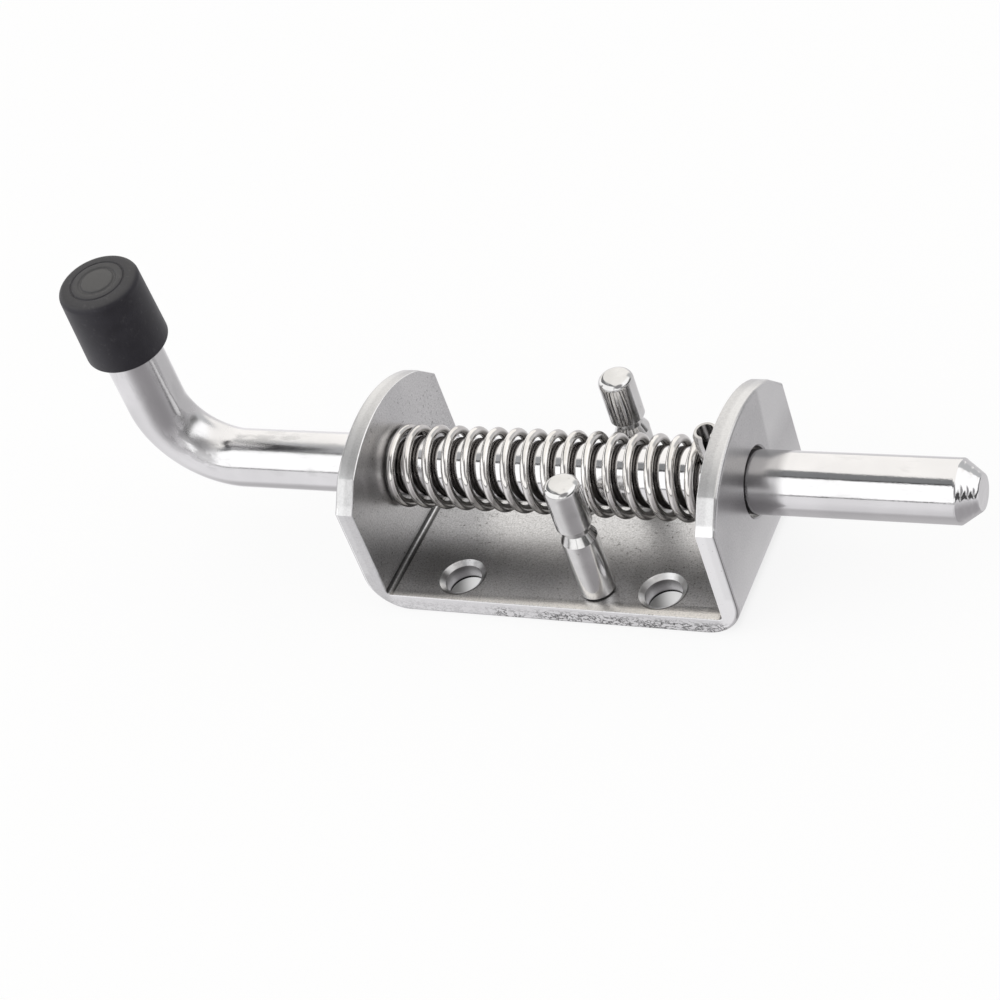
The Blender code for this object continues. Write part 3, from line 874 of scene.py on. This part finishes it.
# %% Drill the cross hole
CROSS_BORE = 2.8 * MM
CROSS_REACH = 8 * MM
pin_bore = turned([(0, -CROSS_REACH), (CROSS_BORE, -CROSS_REACH), (CROSS_BORE, CROSS_REACH),
                   (0, CROSS_REACH)], 64)
move(pin_bore, (PIN_X, 0, 0))
bar_mesh = carved(to_mesh("bar", bm), [("DIFFERENCE", to_mesh("pin_bore", pin_bore))])
print("drilled bar of", len(bar_mesh.polygons), "faces")


# %% Remember where each point was while the bar was straight
def while_straight(point):
    """Unroll the bend: the distance along the bar's axis, then the place across it."""
    if point.x >= BEND_START:
        return point.copy()
    aside = BEND_START - point.x
    way_in = Vector((BEND_RADIUS - point.z, aside))
    bent_by = min(max(way_in.angle_signed(Vector((1, 0)), 0), 0), BEND)
    if bent_by < BEND:
        return Vector((BEND_START - BEND_RADIUS * bent_by, point.y, BEND_RADIUS - way_in.length))
    past = (point - handle_foot).dot(handle_way)
    inward = Vector((handle_way.z, 0, -handle_way.x))
    return Vector((BEND_START - BEND_RADIUS * BEND - past, point.y, (point - handle_foot).dot(inward)))


unrolled = [value for vertex in bar_mesh.vertices for value in while_straight(vertex.co)]
bar_mesh.attributes.new("while_straight", "FLOAT_VECTOR", "POINT").data.foreach_set("vector", unrolled)
bar_mesh.transform(LEAN)
finished("bent_bolt_bar", bar_mesh, BRIGHT, "bolt", "bolt_bar")
print("straight length in mm", round((max(unrolled[::3]) - min(unrolled[::3])) / MM, 1))

# %% [markdown]
# The roll pin.
# It is a strip rolled into a tube that doesn't quite close, driven through the bar so that it springs tight. The
# slotted ring is one face; extruding it three times, drawn in at both ends, gives the tube and its lead-in.

# %% Roll pin
PIN_OUT = 2.5 * MM
PIN_IN = 1.6 * MM
PIN_BETWEEN = 1.9 * MM  # tells the outer points from the inner ones, drawn in or not
PIN_HALF = 13.1 * MM
PIN_SLOT = 1.7 * MM
PIN_LEAD = 0.8 * MM
DRAWN_IN = 0.84
SLOT_FACES = radians(-67)


def slotted_ring(bm, height, steps=60):
    gap_out = degrees(asin(PIN_SLOT / 2 / PIN_OUT))
    gap_in = degrees(asin(PIN_SLOT / 2 / PIN_IN))
    line = arc((0, 0), PIN_OUT, gap_out, 360 - gap_out, steps)
    line += arc((0, 0), PIN_IN, 360 - gap_in, gap_in, steps)
    return bm.faces.new([bm.verts.new((x, y, height)) for x, y in line])


def widen(bm, face, factor):
    outer_points = [point for point in face.verts if point.co.xy.length > PIN_BETWEEN]
    bmesh.ops.scale(bm, verts=outer_points, vec=(factor, factor, 1))


bm = bmesh.new()
face = slotted_ring(bm, -PIN_HALF)
widen(bm, face, DRAWN_IN)
for number, (rise, factor) in enumerate(((PIN_LEAD, 1 / DRAWN_IN), (2 * (PIN_HALF - PIN_LEAD), 1.0),
                                         (PIN_LEAD, DRAWN_IN))):
    grown = bmesh.ops.extrude_face_region(bm, geom=[face])["geom"]
    if number:
        bmesh.ops.delete(bm, geom=[face], context="FACES_ONLY")
    face = next(item for item in grown if isinstance(item, bmesh.types.BMFace))
    bmesh.ops.translate(bm, verts=face.verts[:], vec=(0, 0, rise))
    widen(bm, face, factor)
turn(bm, SLOT_FACES, "Z")
move(bm, (PIN_X, 0, 0))
bm.transform(LEAN)
finished("rolled_pin_tube", to_mesh("rolled_pin_tube", bm), PINNED, "bolt", "roll_pin")

# %% [markdown]
# The rubber cap.
# It is moulded, so it has no sharp edge anywhere: a small round at the mouth, a larger one at the top, and two
# soft rings pressed into the slightly crowned top. Its profile is spun standing up, then leaned along the
# handle.

# %% Cap
CAP_LENGTH = 16.8 * MM
CAP_END = 3 * MM
CAP_BORE = 6.3 * MM
CAP_MOUTH, MOUTH_ROUND = 8.55 * MM, 0.6 * MM
CAP_WIDE, WIDE_ROUND = 8.2 * MM, 1.35 * MM
CROWN, CROWN_REACH = 0.33 * MM, 7 * MM
PRESSED_RINGS = ((5.4 * MM, 0.30 * MM, 0.11 * MM), (3.6 * MM, 0.60 * MM, 0.16 * MM))


def crown(across):
    """The top stands a little higher in its middle."""
    return CAP_LENGTH + CROWN * (1 - (across / CROWN_REACH) ** 2)


def cap_profile():
    line = [(0, CAP_LENGTH - CAP_END), (CAP_BORE, CAP_LENGTH - CAP_END), (CAP_BORE, 0.3 * MM),
            (CAP_BORE + 0.3 * MM, 0)]
    line += arc((CAP_MOUTH - MOUTH_ROUND, MOUTH_ROUND), MOUTH_ROUND, -90, 0, 8)
    line += arc((CAP_WIDE - WIDE_ROUND, CAP_LENGTH - 1.37 * MM), WIDE_ROUND, 0, 84, 14)
    for ring_radius, ring_half, dip in PRESSED_RINGS:
        for step in range(11):
            across = ring_radius + ring_half * (1 - step / 5)
            line.append((across, crown(across) - dip * (1 + cos(pi * (step / 5 - 1)))))
    return line + [(across, crown(across)) for across in (2 * MM, 1 * MM, 0)]


bm = turned(cap_profile(), 96)
turn(bm, BEND - pi / 2, "Y")
move(bm, handle_foot + handle_way * (HANDLE + SEAT + CAP_END - CAP_LENGTH))
bm.transform(LEAN)
finished("rubber_cap", to_mesh("rubber_cap", bm), RUBBER, "bolt", "handle_cap", corner=50)

# %% [markdown]
# The spring.
# Wire is wound on a mandrel, and its ends are wound almost flat so that it stands square. One ring of edges,
# spun about the bar while it moves along it, makes each stretch: flat end, open turns, flat end. Its fixed end
# stands at the left ear, and the piece gets a mesh of its own.

# %% Spring
WIRE_RADIUS = 0.85 * MM
SPRING_LEFT = -34.95 * MM
SPRING_RIGHT = 29.65 * MM
TURNS = 15.8
FLAT_TURNS = 0.55
FLAT_PITCH = 0.2 * MM
STEPS_A_TURN = 84
open_turns = TURNS - 2 * FLAT_TURNS
open_pitch = (SPRING_RIGHT - SPRING_LEFT - 2 * WIRE_RADIUS - 2 * FLAT_TURNS * FLAT_PITCH) / open_turns

bm = bmesh.new()
bmesh.ops.create_circle(bm, segments=20, radius=WIRE_RADIUS)
move(bm, (WIRE_RADIUS, COIL_RADIUS, 0))
turn(bm, radians(3), "X")
first_ring = bm.edges[:]
ring = first_ring
for turns, pitch in ((FLAT_TURNS, FLAT_PITCH), (open_turns, open_pitch), (FLAT_TURNS, FLAT_PITCH)):
    steps = round(turns * STEPS_A_TURN)
    ring = last_ring(bmesh.ops.spin(bm, geom=ring, cent=(0, 0, 0), axis=(1, 0, 0),
                                    dvec=(pitch * turns / steps, 0, 0), angle=2 * pi * turns, steps=steps))
bmesh.ops.edgeloop_fill(bm, edges=first_ring)
bmesh.ops.edgeloop_fill(bm, edges=ring)
move(bm, (SPRING_LEFT, 0, BAR_HEIGHT))
spring = finished("wound_spring", to_mesh("wound_spring", bm), WIRE, "bracket", "spring",
                  corner=60)
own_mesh(spring)

# %% [markdown]
# The studio.
# Bright steel shows nothing but its surroundings, so the studio is modelled as a photographer builds it: a white
# panel in front, a cream ceiling behind, and one dark strip overhead that draws a grey band along the bar. The
# camera and the photographer make a dark spot in front. All of it is far away, so it is painted on the world by
# direction. Dividing a direction by its height gives the place where it meets a flat ceiling, and on that
# ceiling the strip is a plain slanted bar. Below the horizon lies the table, dim on the camera's side. Only the
# steel sees all this: to the camera the world is plain white.

# %% Where things stand in the studio
TO_CAMERA = (0.462, -0.627, 0.628)
UNDER_CAMERA = (0.422, -0.572, -0.703)

tent = Finish(bpy.data.worlds.new("studio_tent"))
scene.world = tent.owner
way = tent.add("ShaderNodeTexCoord", out="Generated")
x, y, z = tent.split(way)
lift = z.at_least(0.02)
ceiling_x = x / lift
ceiling_y = y / lift
slant = ceiling_x.at_most(-0.05) + 0.35
middle = -0.30 - 1.09 * slant
half_width = (0.26 - 0.38 * slant).at_least(0.05)
offset = (ceiling_y - middle) / half_width
length = ceiling_x.within(-2.2, 0.02, 0.12)
strip = offset.within(-0.95, 0.85, 0.18) * length
lip = offset.within(-1.0, -0.68, 0.10) * length
pale = ceiling_x.within(-0.78, -0.55, 0.12)
front = 1 - offset.fade(-1.02, -0.90)
far_right = x.fade(0.42, 0.62)
seam = (x + 0.06 * y).within(-0.012, 0.012, 0.03) * front
corner = x.fade(0.10, 0.30) * y.fade(0.66, 0.74)
rim = (1 - z.fade(0.015, 0.070)) * (1 - y.fade(0.1, 0.3))
rim = rim.at_least(x.fade(0.62, 0.74) * (1 - z.fade(0.20, 0.38)))
below = 1 - z.fade(-0.03, 0.0)
table_back = (0.5 * x + 0.86 * y).fade(0.45, 0.75)
straight_down = 1 - z.fade(-0.85, -0.70)
camera_side = tent.along(way, UNDER_CAMERA).fade(0.58, 1.0)
photographer = tent.along(way, TO_CAMERA).fade(0.88, 0.95)
print("laid out the studio")

# %% Paint the studio
shade = tent.blend(far_right, grey(1.17, 0.026, -0.006), grey(1.36))
for amount, paint in ((front, grey(1.36)),
                      (corner, grey(0.60, -0.01)),
                      (seam * 0.8, grey(0.22)),
                      (photographer, grey(0.30, 0.0, 0.02)),
                      (strip, grey(0.25, -0.02)),
                      (strip * pale * 0.8, grey(0.55, -0.01)),
                      (lip * 0.9, grey(0.04)),
                      (rim, grey(0.08)),
                      (below, grey(0.92, -0.004, 0.014)),
                      (below * table_back, grey(0.70, 0.0, 0.014)),
                      (below * straight_down, grey(0.55, 0.0, 0.02)),
                      (below * camera_side, grey(0.40, 0.0, 0.03)),
                      (tent.add("ShaderNodeLightPath", out="Is Camera Ray"), grey(1.0))):
    shade = tent.blend(amount, shade, paint)
sky = tent.add("ShaderNodeBackground", None, {"Color": shade, "Strength": 1.0})
tent.add("ShaderNodeOutputWorld", None, {"Surface": sky})
print("painted the studio tent")

# %% [markdown]
# The floor is a pale disc. The camera sees it as white paper that keeps the bolt's soft shadow, faintly, as a
# product picture does. Under the plate, where only the holes look in, the shadow is left deep, and deepest to the
# left and front of each hole. The disc stays out of the reflections, which see the table painted on the tent.

# %% Floor
FLOOR_RADIUS = 1.4
FLOOR_DROP = 0.2 * MM

bm = bmesh.new()
bmesh.ops.create_circle(bm, segments=96, radius=FLOOR_RADIUS, cap_ends=True)
move(bm, (0, 0, -FLOOR_DROP))
floor = bpy.data.objects.new("floor", to_mesh("floor", bm))
scene.collection.objects.link(floor)
paper = new_material("white_paper")
seen = paper.add("ShaderNodeLightPath", out="Is Camera Ray")
paper_x, paper_y = paper.split(paper.where())[:2]
under = (1 - abs(paper_x).past(33, 38)) * (1 - abs(paper_y).past(16.5, 20.0))
hole_x, hole_y = from_screw(paper_x, paper_y)
darkest = under * (1 - (0.85 * hole_x + 0.5 * hole_y).past(-2.2, 2.2))
glow = seen * (0.88 - 0.42 * under - 0.42 * darkest)
matt = paper.add("ShaderNodeBsdfDiffuse", None, {"Color": paper.blend(darkest, grey(0.86), grey(0.34))})
lit = paper.add("ShaderNodeEmission", None, {"Color": grey(1.0), "Strength": 1.0})
floor.data.materials.append(paper.close(paper.add("ShaderNodeMixShader", None, {0: glow, 1: matt, 2: lit})))
floor.visible_glossy = False
print("floor of radius", FLOOR_RADIUS, "m")


# %% Lamp
def softbox(name, spot, size, watts):
    """A large soft lamp that lights the piece but doesn't show in the steel, where the tent shows."""
    lamp = bpy.data.lights.new(name, "AREA")
    lamp.shape = "RECTANGLE"
    lamp.size, lamp.size_y = size
    lamp.energy = watts
    holder = bpy.data.objects.new(name, lamp)
    holder.location = spot
    holder.rotation_euler = (Vector((0, 0, 0.02)) - Vector(spot)).to_track_quat("-Z", "Y").to_euler()
    holder.visible_glossy = False
    scene.collection.objects.link(holder)
    print(name, "of", size, "m at", watts, "W")


softbox("key_softbox", (-0.5, -0.6, 1.2), (1.2, 1.0), 2.6)

# %% [markdown]
# Last, the picture's colours are taken as they are.

# %% Colour
scene.view_settings.view_transform = "Standard"
